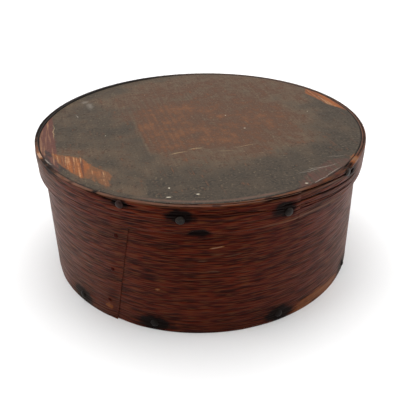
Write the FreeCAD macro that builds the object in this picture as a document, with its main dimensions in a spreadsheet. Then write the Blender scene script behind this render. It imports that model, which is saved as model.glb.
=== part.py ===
import FreeCAD, Part
import math
import os

import Sketcher
from FreeCAD import Placement, Rotation, Vector

# A round box of bent wood with a lift-off lid.
#
# Each wall is one thin strip of wood, steamed and bent round a former. Its two ends are shaved
# to a taper and lapped over each other, and nails driven through the lap are clinched inside.
# A disc of pine fills the foot of the box and another fills the lid, and nails driven through
# the strips into the discs' edges hold them. The lid drops over the box and its disc rests on
# the top edge of the box's strip.
#
# Millimetres. The origin is the middle of the underside, +Z is up and -Y is the front. Angles
# are in degrees about +Z, counted from +X, so the front is 270 and the left side is 180.

SIZES = (
    # the whole box
    ("lid_diameter", 248.0),            # outside of the lid's strip where it is single
    ("box_height", 102.0),              # underside of the box to the top of the lid
    # the lid
    ("lid_band_height", 19.0),
    ("lid_band_thickness", 3.5),
    ("lid_clearance", 0.5),             # from the box's lap, its widest place, to the lid's strip
    ("lid_disc_thickness", 6.5),
    ("lid_lap_end_angle", 299.0),       # where the outer end of the lid's strip stops
    ("lid_lap_length", 84.0),
    ("lid_lap_end_thickness", 1.1),
    # the box
    ("body_band_thickness", 3.0),
    ("bottom_disc_thickness", 12.0),
    ("body_lap_end_angle", 249.3),      # where the outer end stops, at the top edge
    ("body_lap_length", 84.0),
    ("body_lap_end_thickness", 0.8),
    ("body_lap_slant", 19.0),           # how far the outer end leans from top edge to foot
    # what both strips share
    ("lap_tip_thickness", 0.4),         # the inner end, shaved almost to nothing
    ("lap_gap", 0.1),                   # air left between the two layers of a lap
    ("lap_climb_length", 14.0),         # over which the outer layer rises over the inner end
    ("strip_arris_bevel", 0.5),         # worn outer arrises of each strip
    ("disc_edge_bevel", 1.2),           # worn arris of each disc's outer face
    # nails that hold the discs
    ("disc_nail_head_diameter", 5.3),
    ("disc_nail_head_height", 1.3),
    ("disc_nail_bevel", 0.8),           # hammered round the top of its head
    ("disc_nail_length", 22.0),
    ("disc_nail_width", 2.2),           # of its square shank, under the head
    ("disc_nail_point_width", 0.7),
    ("lid_nail_count", 5.0),
    ("lid_nail_first_angle", 247.2),
    ("bottom_nail_count", 10.0),
    ("bottom_nail_first_angle", 224.3),
    # nails and tacks that hold the laps
    ("lap_nail_head_diameter", 5.6),
    ("lap_nail_head_height", 1.5),
    ("lap_nail_bevel", 0.9),
    ("lap_nail_width", 1.8),
    ("lap_nail_end_margin", 9.0),       # from each end of the lid's lap to its nail
    ("lap_nail_outer_drop", 4.0),       # below the lid's disc, by the outer end
    ("lap_nail_inner_drop", 1.8),       # below the lid's disc, by the inner end
    ("tack_head_diameter", 3.2),
    ("tack_head_height", 0.6),
    ("tack_bevel", 0.4),
    ("tack_width", 1.2),
    ("tack_end_margin", 8.0),           # from the slanted end of the box's lap
    ("tack_count", 3.0),
    ("tack_foot_margin", 17.0),         # from the foot of the box to the lowest tack
    ("tack_lid_margin", 10.0),          # from the highest tack to the foot of the lid's strip
    ("clinch_length", 5.0),             # of a nail's point, bent over inside
    ("clinch_thickness", 0.4),
    ("head_sink", 0.15),                # how far each head is driven into the wood
)

# The nails were set by hand, so each strays from even spacing by a few degrees.
LID_NAIL_STRAY = (0.0, 1.3, -2.0, 1.5, -1.0)
BOTTOM_NAIL_STRAY = (0.0, -5.8, -1.0, 2.0, -3.0, 1.0, 3.5, -2.0, 2.5, -1.0)
HEAD_FACETS = 8         # hammered round each head

FULL_TURN = 360.0
PAST = 2.0              # how far a cutting tool runs past what it cuts
SAWN_OFF = 0.5          # of the end of the box's lap at its top edge, where least comes off
SAME = 1e-6             # lengths closer than this are the same
MOST_BEVEL = 0.8        # an arris is worn by at most this share of its wall

document = FreeCAD.newDocument("bentwood_box")
sheet = document.addObject("Spreadsheet::Sheet", "sizes")
for row, (alias, value) in enumerate(SIZES, start=1):
    sheet.set(f"A{row}", alias)
    sheet.set(f"B{row}", str(value))
    sheet.setAlias(f"B{row}", alias)
document.recompute()


def size(alias):
    return float(sheet.get(alias))


# ---------------------------------------------------------------- the bent strips


def polar(radius, angle, height=0.0):
    turn = math.radians(angle)
    return Vector(radius * math.cos(turn), radius * math.sin(turn), height)


def degrees_along(length, radius):
    return math.degrees(length / radius)


def edges_at(shape, level):
    """The names of the edges of a shape that lie flat at one level."""
    names = []
    for number, edge in enumerate(shape.Edges, start=1):
        if abs(edge.BoundBox.ZMin - level) + abs(edge.BoundBox.ZMax - level) < SAME:
            names.append(f"Edge{number}")
    return names


def bent(start, end):
    """The arc from one (radius, angle) to another, through the point half-way between them."""
    middle = polar((start[0] + end[0]) / 2, (start[1] + end[1]) / 2)
    return Part.Arc(polar(*start), middle, polar(*end)).toShape()


class Band:
    """The plan of one strip, bent once round and lapped over its own inner end."""

    def __init__(self, inner_radius, thickness, lap_length, lap_end_angle, lap_end_thickness):
        self.inner = inner_radius
        self.thickness = thickness
        self.outer = inner_radius + thickness
        self.end = lap_end_angle
        self.tip = lap_end_angle - degrees_along(lap_length, self.outer)
        self.climb = self.tip - degrees_along(size("lap_climb_length"), self.outer)
        self.tip_radius = inner_radius + size("lap_tip_thickness")
        self.gap = size("lap_gap")
        self.over_tip = self.outer + size("lap_tip_thickness") + self.gap
        self.over_end = self.outer + lap_end_thickness

    def outside(self, angle):
        """The radius of the strip's outer face at an angle from its climb to its outer end."""
        if angle < self.tip:
            share = max(0.0, (angle - self.climb) / (self.tip - self.climb))
            return self.outer + share * (self.over_tip - self.outer)
        if angle <= self.end:
            share = (angle - self.tip) / (self.end - self.tip)
            return self.over_tip + share * (self.over_end - self.over_tip)
        return self.outer

    def seam(self, lift):
        """The line between the two layers of the lap, lifted off the inner layer."""
        return (self.tip_radius + lift, self.tip), (self.outer + lift, self.end)

    def outline(self):
        under_tip, under_end = self.seam(0.0)
        over_tip, over_end = self.seam(self.gap)
        round_climb = self.climb + FULL_TURN
        edges = [
            bent(under_tip, under_end),
            bent((self.outer, self.end), (self.outer, round_climb)),
            bent((self.outer, self.climb), (self.over_tip, self.tip)),
            bent((self.over_tip, self.tip), (self.over_end, self.end)),
            Part.makeLine(polar(self.over_end, self.end), polar(*over_end)),
            bent(over_end, over_tip),
            bent(over_tip, (self.inner, self.climb)),
            bent((self.inner, round_climb), (self.inner, self.tip)),
            Part.makeLine(polar(self.inner, self.tip), polar(*under_tip)),
        ]
        return Part.Wire(edges)

    def solid(self, height):
        """The strip, with the arrises of its outer face worn away."""
        strip = Part.Face(self.outline()).extrude(Vector(0, 0, height))
        thinnest = self.over_end - self.outer - self.gap
        bevel = min(size("strip_arris_bevel"), MOST_BEVEL * thinnest)
        return strip.makeChamfer(bevel, [edge for edge in strip.Edges if self.is_arris(edge)])

    def is_arris(self, edge):
        level = edge.BoundBox.ZLength < SAME
        middle = edge.valueAt((edge.FirstParameter + edge.LastParameter) / 2)
        outside = math.hypot(middle.x, middle.y) > self.outer - SAME
        return level and outside and edge.Length > self.thickness

    def outer_layer(self, height):
        """The room taken by the lap's outer layer, as a tool that never touches the inner one."""
        seam_tip, seam_end = self.seam(self.gap / 2)
        outside = self.over_end + PAST
        past_end = self.end + degrees_along(PAST, self.outer)
        edges = [
            bent(seam_tip, seam_end),
            bent(seam_end, (seam_end[0], past_end)),
            Part.makeLine(polar(seam_end[0], past_end), polar(outside, past_end)),
            bent((outside, past_end), (outside, self.tip)),
            Part.makeLine(polar(outside, self.tip), polar(*seam_tip)),
        ]
        return Part.Face(Part.Wire(edges)).extrude(Vector(0, 0, height))


lid_radius = size("lid_diameter") / 2
lid_inner_radius = lid_radius - size("lid_band_thickness")
body_lap_rise = max(size("body_lap_end_thickness"), size("lap_tip_thickness") + size("lap_gap"))
body_radius = lid_inner_radius - size("lid_clearance") - body_lap_rise
body_inner_radius = body_radius - size("body_band_thickness")
body_height = size("box_height") - size("lid_disc_thickness")
lid_band_foot = size("box_height") - size("lid_band_height")

lid_plan = Band(
    lid_inner_radius,
    size("lid_band_thickness"),
    size("lid_lap_length"),
    size("lid_lap_end_angle"),
    size("lid_lap_end_thickness"),
)
body_plan = Band(
    body_inner_radius,
    size("body_band_thickness"),
    size("body_lap_length"),
    size("body_lap_end_angle"),
    size("body_lap_end_thickness"),
)


def slanted_end(plan, height, lean):
    """What is sawn off a lap's outer layer so that its end leans back towards the foot."""
    angle = math.degrees(math.atan2(lean, height))
    box = Part.makeBox(4 * PAST + plan.thickness, lean + 2 * PAST, 2 * height)
    box.translate(Vector(plan.outer - plan.thickness, 0, -height))
    box.rotate(Vector(), Vector(1, 0, 0), -angle)
    box.translate(Vector(0, -SAWN_OFF, height))
    box.rotate(Vector(), Vector(0, 0, 1), plan.end)
    return box.common(plan.outer_layer(height))


def strip(name, plan, height, foot, trimmed_by=None):
    """A strip standing at its place, before its nails go in."""
    solid = plan.solid(height)
    if trimmed_by is not None:
        solid = solid.cut(trimmed_by)
    blank = document.addObject("Part::Feature", f"{name}_blank")
    blank.Shape = solid
    blank.Placement = Placement(Vector(0, 0, foot), Rotation())
    return blank


body_band_blank = strip(
    "body_band",
    body_plan,
    body_height,
    0.0,
    slanted_end(body_plan, body_height, size("body_lap_slant")),
)
lid_band_blank = strip("lid_band", lid_plan, size("lid_band_height"), lid_band_foot)


# ---------------------------------------------------------------- sketches


def origin_plane(body, role):
    return next(item for item in body.Origin.OriginFeatures if item.Role == role)


def sketch_on(body, name, role):
    sketch = body.newObject("Sketcher::SketchObject", name)
    sketch.AttachmentSupport = (origin_plane(body, role), [""])
    sketch.MapMode = "FlatFace"
    return sketch


def bind(sketch, name, expression, *constraint):
    """Add a dimension to a sketch and tie it to the sheet."""
    index = sketch.addConstraint(Sketcher.Constraint(*constraint))
    sketch.renameConstraint(index, name)
    sketch.setExpression(f"Constraints.{name}", expression)


CURVE, START, FINISH, CENTRE = range(4)     # the sketcher's names for a curve and its points
ORIGIN = -1                                 # and for its own origin


def joined_loop(sketch, corners):
    """Draw straight lines from corner to corner and round to the first, joined at their ends."""
    count = len(corners)
    for line in range(count):
        sketch.addGeometry(Part.LineSegment(corners[line], corners[(line + 1) % count]))
    for line in range(count):
        following = (line + 1) % count
        sketch.addConstraint(Sketcher.Constraint("Coincident", line, FINISH, following, START))


# ---------------------------------------------------------------- the discs


def disc_blank(name, radius_expression, thickness_expression, foot_expression, worn_on_top):
    """A flat round board with the arris of its outer face worn away."""
    body = document.addObject("PartDesign::Body", f"{name}_blank")
    circle = sketch_on(body, f"{name}_circle", "XY_Plane")
    circle.addGeometry(Part.Circle(Vector(), Vector(0, 0, 1), lid_inner_radius))
    circle.addConstraint(Sketcher.Constraint("Coincident", 0, CENTRE, ORIGIN, START))
    bind(circle, "radius", radius_expression, "Radius", 0, lid_inner_radius)
    board = body.newObject("PartDesign::Pad", f"{name}_board")
    board.Profile = circle
    board.setExpression("Length", thickness_expression)
    document.recompute()
    outer_face = board.Length.Value if worn_on_top else 0.0
    bevel = body.newObject("PartDesign::Chamfer", f"{name}_bevel")
    bevel.Base = (board, edges_at(board.Shape, outer_face))
    bevel.setExpression("Size", "<<sizes>>.disc_edge_bevel")
    body.setExpression(".Placement.Base.z", foot_expression)
    return body


LID_INSIDE = "<<sizes>>.lid_diameter / 2 - <<sizes>>.lid_band_thickness"
LAP_RISE = "max(<<sizes>>.body_lap_end_thickness; <<sizes>>.lap_tip_thickness + <<sizes>>.lap_gap)"
BODY_OUTSIDE = f"{LID_INSIDE} - <<sizes>>.lid_clearance - {LAP_RISE}"
BODY_INSIDE = f"{BODY_OUTSIDE} - <<sizes>>.body_band_thickness"

lid_disc_blank = disc_blank(
    "lid_disc",
    LID_INSIDE,
    "<<sizes>>.lid_disc_thickness",
    "<<sizes>>.box_height - <<sizes>>.lid_disc_thickness",
    worn_on_top=True,
)
bottom_disc_blank = disc_blank(
    "bottom_disc",
    BODY_INSIDE,
    "<<sizes>>.bottom_disc_thickness",
    "0",
    worn_on_top=False,
)


# ---------------------------------------------------------------- nails


def headed(name, kind):
    """A nail's hammered head, its underside on the XY plane and its shank to come below."""
    body = document.addObject("PartDesign::Body", name)
    body.Label = name
    radius = size(f"{kind}_head_diameter") / 2
    pitch = FULL_TURN / HEAD_FACETS
    outline = sketch_on(body, f"{name}_head_outline", "XY_Plane")
    joined_loop(outline, [polar(radius, (facet + 0.5) * pitch) for facet in range(HEAD_FACETS)])
    ring = outline.addGeometry(Part.Circle(Vector(), Vector(0, 0, 1), radius), True)
    outline.addConstraint(Sketcher.Constraint("Coincident", ring, CENTRE, ORIGIN, START))
    for facet in range(HEAD_FACETS):
        outline.addConstraint(Sketcher.Constraint("PointOnObject", facet, START, ring))
    for facet in range(1, HEAD_FACETS):
        outline.addConstraint(Sketcher.Constraint("Equal", 0, facet))
    outline.addConstraint(Sketcher.Constraint("Vertical", HEAD_FACETS - 1))
    bind(outline, "radius", f"<<sizes>>.{kind}_head_diameter / 2", "Radius", ring, radius)
    head = body.newObject("PartDesign::Pad", f"{name}_head")
    head.Profile = outline
    head.setExpression("Length", f"<<sizes>>.{kind}_head_height")
    document.recompute()
    bevel = body.newObject("PartDesign::Chamfer", f"{name}_bevel")
    bevel.Base = (head, edges_at(head.Shape, size(f"{kind}_head_height")))
    bevel.setExpression("Size", f"<<sizes>>.{kind}_bevel")
    return body


def rectangle(body, name, width_expression, width, length_expression=None, length=None):
    """A rectangle on the XY plane, centred on X = 0, or a square centred on the origin."""
    length_expression = length_expression or width_expression
    length = length or width
    half = width / 2
    corners = [
        Vector(-half, -half, 0),
        Vector(length - half, -half, 0),
        Vector(length - half, half, 0),
        Vector(-half, half, 0),
    ]
    sketch = sketch_on(body, name, "XY_Plane")
    joined_loop(sketch, corners)
    for line in range(4):
        sketch.addConstraint(Sketcher.Constraint(("Horizontal", "Vertical")[line % 2], line))
    bind(sketch, "length", length_expression, "Distance", 0, length)
    bind(sketch, "width", width_expression, "Distance", 1, width)
    bind(sketch, "back", f"{width_expression} / 2", "DistanceX", 0, START, ORIGIN, START, half)
    bind(sketch, "side", f"{width_expression} / 2", "DistanceY", 0, START, ORIGIN, START, half)
    return sketch


def disc_nail(name):
    """A nail with a tapered square shank, long enough to reach well into a disc."""
    body = headed(name, "disc_nail")
    shank = body.newObject("PartDesign::AdditiveWedge", f"{name}_shank")
    shank.Placement = Placement(Vector(), Rotation(Vector(1, 0, 0), -90))
    shank.Ymin = 0
    shank.setExpression("Ymax", "<<sizes>>.disc_nail_length")
    for side in ("X", "Z"):
        shank.setExpression(f"{side}min", "-<<sizes>>.disc_nail_width / 2")
        shank.setExpression(f"{side}max", "<<sizes>>.disc_nail_width / 2")
        shank.setExpression(f"{side}2min", "-<<sizes>>.disc_nail_point_width / 2")
        shank.setExpression(f"{side}2max", "<<sizes>>.disc_nail_point_width / 2")
    return body


def clinched_nail(name, kind, grip):
    """A nail that passes through a lap's two layers, with its point bent down flat inside."""
    body = headed(name, kind)
    width = f"<<sizes>>.{kind}_width"
    shank = body.newObject("PartDesign::Pad", f"{name}_shank")
    shank.Profile = rectangle(body, f"{name}_square", width, size(f"{kind}_width"))
    shank.Reversed = True
    shank.Length = grip
    clinch = rectangle(
        body,
        f"{name}_bent_point",
        width,
        size(f"{kind}_width"),
        "<<sizes>>.clinch_length",
        size("clinch_length"),
    )
    clinch.AttachmentOffset = Placement(Vector(0, 0, -grip), Rotation())
    point = body.newObject("PartDesign::Pad", f"{name}_point")
    point.Profile = clinch
    point.setExpression("Length", "<<sizes>>.clinch_thickness")
    return body


def driven(nail, plan, angle, height):
    """Drive a nail into a strip, square to it, with its shank along the radius."""
    facing = Rotation(Vector(0, 0, 1), angle).multiply(Rotation(Vector(0, 1, 0), 90))
    nail.Placement = Placement(polar(plan.outside(angle) - size("head_sink"), angle, height), facing)
    return nail


def grip(plan, angle):
    """From under a lap nail's head to the far side of its point, bent over inside the strip."""
    through = plan.outside(angle) - plan.inner
    return through + size("clinch_thickness") - 2 * size("head_sink")


def disc_nails(name, plan, count, first_angle, strays, height):
    pitch = FULL_TURN / count
    nails = []
    for number in range(count):
        angle = first_angle + number * pitch + strays[number % len(strays)]
        nails.append(driven(disc_nail(f"{name}_{number + 1}"), plan, angle, height))
    return nails


lid_nails = disc_nails(
    "lid_disc_nail",
    lid_plan,
    round(size("lid_nail_count")),
    size("lid_nail_first_angle"),
    LID_NAIL_STRAY,
    size("box_height") - size("lid_disc_thickness") / 2,
)
bottom_nails = disc_nails(
    "bottom_nail",
    body_plan,
    round(size("bottom_nail_count")),
    size("bottom_nail_first_angle"),
    BOTTOM_NAIL_STRAY,
    size("bottom_disc_thickness") / 2,
)

lap_margin = degrees_along(size("lap_nail_end_margin"), lid_radius)
lap_nails = []
for number, (angle, drop) in enumerate(
    (
        (lid_plan.tip + lap_margin, size("lap_nail_inner_drop")),
        (lid_plan.end - lap_margin, size("lap_nail_outer_drop")),
    ),
    start=1,
):
    nail = clinched_nail(f"lid_lap_nail_{number}", "lap_nail", grip(lid_plan, angle))
    lap_nails.append(driven(nail, lid_plan, angle, body_height - drop))

tacks = []
tack_count = round(size("tack_count"))
lowest_tack = size("tack_foot_margin")
highest_tack = lid_band_foot - size("tack_lid_margin")
for number in range(tack_count):
    height = lowest_tack + (highest_tack - lowest_tack) * number / max(1, tack_count - 1)
    lean = size("body_lap_slant") * (1 - height / body_height)
    angle = body_plan.end - degrees_along(lean + size("tack_end_margin"), body_radius)
    tack = clinched_nail(f"body_lap_tack_{number + 1}", "tack", grip(body_plan, angle))
    tacks.append(driven(tack, body_plan, angle, height))


# ---------------------------------------------------------------- the wood, with its nails in it


def pierced(name, blank, nails):
    """Wood with its nails driven in: it closes on each of them."""
    together = document.addObject("Part::Compound", f"{name}_nails")
    together.Links = nails
    piece = document.addObject("Part::Cut", name)
    piece.Base = blank
    piece.Tool = together
    piece.Label = name
    return piece


wood = [
    pierced("lid_disc", lid_disc_blank, lid_nails),
    pierced("lid_band", lid_band_blank, lid_nails + lap_nails),
    pierced("body_band", body_band_blank, bottom_nails + tacks),
    pierced("bottom_disc", bottom_disc_blank, bottom_nails),
]
document.recompute()


# ---------------------------------------------------------------- check and write


for item in document.Objects:
    if "Invalid" in item.State or "Error" in item.State:
        raise RuntimeError(f"{item.Name} failed: {item.State}")

pieces = wood + lid_nails + lap_nails + bottom_nails + tacks
for piece in pieces:
    if piece.Shape.isNull() or not piece.Shape.isValid() or len(piece.Shape.Solids) != 1:
        raise RuntimeError(f"{piece.Label} is not one sound solid")

os.makedirs("parts", exist_ok=True)
for piece in pieces:
    piece.Shape.exportStep(f"parts/{piece.Label}.step")
    print(f"{piece.Label}: {piece.Shape.Volume:.1f} cubic mm")
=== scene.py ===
import math

import bpy
import numpy as np
from mathutils import Matrix, Vector


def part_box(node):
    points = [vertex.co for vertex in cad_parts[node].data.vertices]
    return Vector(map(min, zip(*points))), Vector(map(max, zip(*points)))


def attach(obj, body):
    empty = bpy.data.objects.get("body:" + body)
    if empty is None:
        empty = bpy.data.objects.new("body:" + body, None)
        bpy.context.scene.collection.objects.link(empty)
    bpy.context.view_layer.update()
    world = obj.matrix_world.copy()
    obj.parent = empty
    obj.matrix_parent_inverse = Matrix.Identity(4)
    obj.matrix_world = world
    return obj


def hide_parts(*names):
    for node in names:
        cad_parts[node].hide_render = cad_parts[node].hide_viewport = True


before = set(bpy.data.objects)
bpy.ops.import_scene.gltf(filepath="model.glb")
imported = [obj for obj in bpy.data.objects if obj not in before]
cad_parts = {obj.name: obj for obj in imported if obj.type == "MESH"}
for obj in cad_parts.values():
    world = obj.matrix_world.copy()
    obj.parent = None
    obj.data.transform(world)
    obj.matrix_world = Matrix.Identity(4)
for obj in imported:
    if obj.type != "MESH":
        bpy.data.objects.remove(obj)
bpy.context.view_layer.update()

# A round lidded box of bent wood, in metres, standing on its underside with its front to -Y.
# Angles are in degrees about +Z counted from +X: the front is 270 and the left side is 180.


# ---------------------------- the box's side
# One thin strip of ash, steamed and bent once round, its two ends shaved thin and lapped. It was
# stained red-brown long ago. The stain lies dark in the furrows of the grain and has worn off the
# ridges and edges, and iron from the nails has bled black into the wood round them.

MM = 0.001
FULL_TURN = 360.0

LAP_TIP = 0.4 * MM  # the inner end, shaved almost to nothing
LAP_GAP = 0.1 * MM  # air between the two layers of a lap
LAP_CLIMB = 14 * MM  # over which the outer layer rises over the inner end
THINNEST = 0.15 * MM  # that wear leaves of a strip
WIDEST_ARRIS = 0.45  # as a share of the thickness it rounds
SHARP_EDGE = 50  # from which an edge shows as an edge, in degrees

BOX_LAP_LENGTH = 84 * MM
BOX_LAP_END = 249.3  # where the outer end stops, at its top
BOX_LAP_END_THICKNESS = 0.8 * MM
BOX_LAP_LEAN = 19 * MM  # how far the outer end slants back towards the foot


def smooth(share):
    """An even rise from 0 to 1 as the share goes from 0 to 1."""
    share = np.clip(share, 0.0, 1.0)
    return share * share * (3 - 2 * share)


def hills(seed, along, across, length, width):
    """Smooth random hills between -1 and 1, so many mm long and wide, at places given in mm."""
    count = 256
    far = 1000  # so that no place counts below 0
    heights = np.random.default_rng(seed).uniform(-1, 1, (count, count))
    x = along / length + far
    y = across / width + far
    column = np.floor(x).astype(int)
    row = np.floor(y).astype(int)
    right = smooth(x - column)
    up = smooth(y - row)
    total = 0
    for step_x, share_x in ((0, 1 - right), (1, right)):
        for step_y, share_y in ((0, 1 - up), (1, up)):
            total = total + heights[(column + step_x) % count, (row + step_y) % count] * share_x * share_y
    return total


def strongest(*marks):
    """The strongest of some marks at every point."""
    return np.maximum.reduce(marks)


class BentStrip:
    """The plan of a strip bent past a full turn, so that its outer end laps over its inner end."""

    def __init__(self, outer, inner, lap_length, lap_end, lap_end_thickness):
        self.outer = outer
        self.inner = inner
        self.end = lap_end
        self.tip = lap_end - math.degrees(lap_length / outer)
        self.climb = self.tip - math.degrees(LAP_CLIMB / outer)
        self.over_tip = outer + LAP_TIP + LAP_GAP
        self.over_end = outer + lap_end_thickness

    def outer_face(self, turn):
        """Its radius at a turn, which runs from the inner end on round to the outer end."""
        turns = [self.tip, self.end, self.climb + FULL_TURN, self.tip + FULL_TURN, self.end + FULL_TURN]
        radii = [self.inner + LAP_TIP, self.outer, self.outer, self.over_tip, self.over_end]
        return np.interp(turn, turns, radii)

    def on_top(self, angle):
        """The turn of the layer that shows from outside at an angle."""
        return self.end + FULL_TURN - (self.end - angle) % FULL_TURN

    def inner_face(self, turn):
        """Its radius inside at a turn."""
        turns = [self.climb + FULL_TURN, self.tip + FULL_TURN, self.end + FULL_TURN]
        radii = [self.inner, self.inner + LAP_TIP + LAP_GAP, self.outer + LAP_GAP]
        return np.interp(turn, turns, radii)


ARC_STEPS = 4  # across each worn arris
MID_EDGE = 0.6  # a row of points on the top edge, as a share of the way to the outer face


def section_of_strip(rows):
    """Round a strip's section: how near the outer face, how far up, and the arris's own curve."""
    points = []
    for outer, upper, start, share in ((1, 0, -90, 1), (1, 1, 0, 1), (0, 1, 90, 0.5), (0, 0, 180, 0.5)):
        for step in range(ARC_STEPS + 1):
            slope = math.radians(start + 90 * step / ARC_STEPS)
            away = math.cos(slope) - 1 if outer else math.cos(slope) + 1
            rise = math.sin(slope) - 1 if upper else math.sin(slope) + 1
            points.append((outer, upper, away * share, rise * share))
        if outer and not upper:
            for row in range(1, rows):
                points.append((1, row / rows, 0, 1 - 2 * row / rows))
        if outer and upper:
            points.append((MID_EDGE, 1, 0, 0))
        if upper and not outer:
            for row in range(1, rows // 4):
                down = row / (rows // 4)
                points.append((0, 1 - down, 0, down - 0.5))
    return np.array(points, float).T


class StripSkin:
    """A strip's closed skin, as a grid of columns along it that wear can still move."""

    def __init__(self, plan, foot, top, columns, rows, arris, lean=0.0):
        outer, upper, away, rise = section_of_strip(rows)
        turn = np.linspace(plan.tip, plan.end + FULL_TURN, columns)[:, None]
        height = foot + (top - foot) * upper
        in_lap = smooth((turn - plan.tip - FULL_TURN) / (plan.end - plan.tip))
        slant = lean * (top - height) / (top - foot)
        self.plan = plan
        self.turn = turn - np.degrees(slant / plan.outer) * in_lap
        thickness = plan.outer_face(self.turn) - plan.inner_face(self.turn)
        arris = np.minimum(arris, WIDEST_ARRIS * thickness)
        self.radius = plan.inner_face(self.turn) + outer * thickness + away * arris
        self.height = height + rise * arris
        self.facing = (outer == 1) * np.clip(1 + away, 0, 1) * np.ones_like(self.turn)
        self.on_mid_edge = (outer == MID_EDGE) * np.ones_like(self.turn)
        self.is_outer = outer > 0.5
        self.along = np.radians(self.turn) * plan.outer / MM
        self.up = self.height / MM
        self.marks = {}

    def from_angle(self, angle):
        """How far round from an angle each point is, in mm."""
        apart = (self.turn - angle + FULL_TURN / 2) % FULL_TURN - FULL_TURN / 2
        return np.radians(apart) * self.plan.outer / MM

    def spot(self, angle, up, half_length, half_width):
        """1 at a place on the strip, falling to 0 round it."""
        away = (self.from_angle(angle) / half_length) ** 2 + ((self.up - up) / half_width) ** 2
        return np.exp(-(away**1.6))

    def line(self, points, half_width, fade=8):
        """1 along a line through (angle, mm up) points, falling to 0 beside it and at its ends."""
        angles, heights = np.array(points, float).T
        along = self.from_angle(angles[0])
        places = np.radians(angles - angles[0]) * self.plan.outer / MM
        beside = self.up - np.interp(along, places, heights)
        ends = smooth(1 + along / fade) * smooth(1 + (places[-1] - along) / fade)
        return np.exp(-((beside / half_width) ** 2)) * ends

    def dent(self, depth):
        """Sink the outer face by so many mm, but never through the strip."""
        sunk = self.radius - depth * MM * self.facing
        thinnest = np.minimum(self.radius, self.plan.inner_face(self.turn) + THINNEST)
        self.radius = np.maximum(sunk, thinnest)

    def chip(self, edge, angle, half_length, rise):
        """Break a bite so many mm high out of an edge, the foot or the top, at an angle."""
        near = smooth(1 - np.abs(self.up - edge) / (3 * abs(rise)))
        bite = rise * np.exp(-((self.from_angle(angle) / half_length) ** 4)) * near
        self.up = self.up + bite
        self.height = self.height + bite * MM

    def mesh(self, name, materials):
        columns, rows = self.turn.shape
        angle = np.radians(self.turn)
        places = np.stack([self.radius * np.cos(angle), self.radius * np.sin(angle), self.height], -1)
        number = np.arange(columns * rows).reshape(columns, rows)
        following = np.roll(number, -1, axis=1)
        quads = np.stack([number[:-1], number[1:], following[1:], following[:-1]], -1).reshape(-1, 4)
        faces = quads.tolist() + [number[0].tolist(), number[-1, ::-1].tolist()]
        mesh = bpy.data.meshes.new(name)
        mesh.from_pydata(places.reshape(-1, 3).tolist(), [], faces)
        inner_row = ~self.is_outer & ~np.roll(self.is_outer, -1)
        inside = np.tile(inner_row, columns - 1).astype(np.int32)
        mesh.polygons.foreach_set("material_index", np.append(inside, [0, 0]))
        for material in materials:
            mesh.materials.append(material)
        corner = np.empty(len(mesh.loops), np.int32)
        mesh.loops.foreach_get("vertex_index", corner)
        grain = np.stack([self.along * MM, self.height], -1).reshape(-1, 2)[corner]
        mesh.uv_layers.new(name="grain").data.foreach_set("uv", grain.ravel().astype(np.float32))
        for mark, amount in self.marks.items():
            marked(mesh, mark, np.broadcast_to(amount, self.turn.shape).ravel())
        return finished(name, mesh)


def marked(mesh, mark, amount):
    """Keep where a mesh is worn, stained or painted with light or shade, as a share at every point."""
    shares = np.clip(amount, 0, 1).astype(np.float32)
    mesh.attributes.new(mark, "FLOAT", "POINT").data.foreach_set("value", shares)


def in_scene(name, data):
    """An object in the scene, at the origin."""
    thing = bpy.data.objects.new(name, data)
    bpy.context.scene.collection.objects.link(thing)
    return thing


def finished(name, mesh):
    """A finished mesh as an object at the origin, smooth but for its sharp edges."""
    mesh.polygons.foreach_set("use_smooth", np.ones(len(mesh.polygons), bool))
    mesh.set_sharp_from_angle(angle=math.radians(SHARP_EDGE))
    mesh.update()
    return in_scene(name, mesh)


def colour(code):
    """A colour in sRGB hex, as a shader wants it."""
    shares = [int(code[place:place + 2], 16) / 255 for place in (0, 2, 4)]
    return [*[s / 12.92 if s <= 0.04045 else ((s + 0.055) / 1.055) ** 2.4 for s in shares], 1.0]


def add(tree, kind, inputs=(), **settings):
    """Add a node with its settings. An input is given a value, or linked to a node or its output."""
    node = tree.nodes.new(kind)
    for name, value in settings.items():
        setattr(node, name, value)
    for socket, value in dict(inputs).items():
        value = value.outputs[0] if isinstance(value, bpy.types.Node) else value
        if isinstance(value, bpy.types.NodeSocket):
            tree.links.new(value, node.inputs[socket])
        else:
            node.inputs[socket].default_value = value
    return node


def new_material(name):
    material = bpy.data.materials.new(name)
    material.use_nodes = True
    material.node_tree.nodes.clear()
    return material, material.node_tree


def streaks(tree, place, *size, detail=2.0):
    """Uneven streaks of a size given in mm along each axis, as shares from 0 to 1."""
    scale = [1 / (length * MM) for length in size]
    stretched = add(tree, "ShaderNodeMapping", {"Vector": place, "Scale": [*scale, 1.0][:3]})
    return add(tree, "ShaderNodeTexNoise", {"Vector": stretched, "Scale": 1.0, "Detail": detail})


def weighed(tree, signs):
    """Signs of grain or wear added up, each times its weight."""
    total = 0.0
    for sign, weight in signs:
        total = add(tree, "ShaderNodeMath", {0: sign, 1: weight, 2: total}, operation="MULTIPLY_ADD")
    return total


def coated(tree, base, *coats):
    """A colour under coats. Each begins where its signs pass start, and has its most from full on."""
    for above, signs, start, full, most in coats:
        rise = {"Value": weighed(tree, signs), 1: start, 2: full, 4: most}
        share = add(tree, "ShaderNodeMapRange", rise, interpolation_type="SMOOTHSTEP")
        above = colour(above) if isinstance(above, str) else above
        base = add(tree, "ShaderNodeMixRGB", {"Fac": share, "Color1": base, "Color2": above})
    return base


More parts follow.
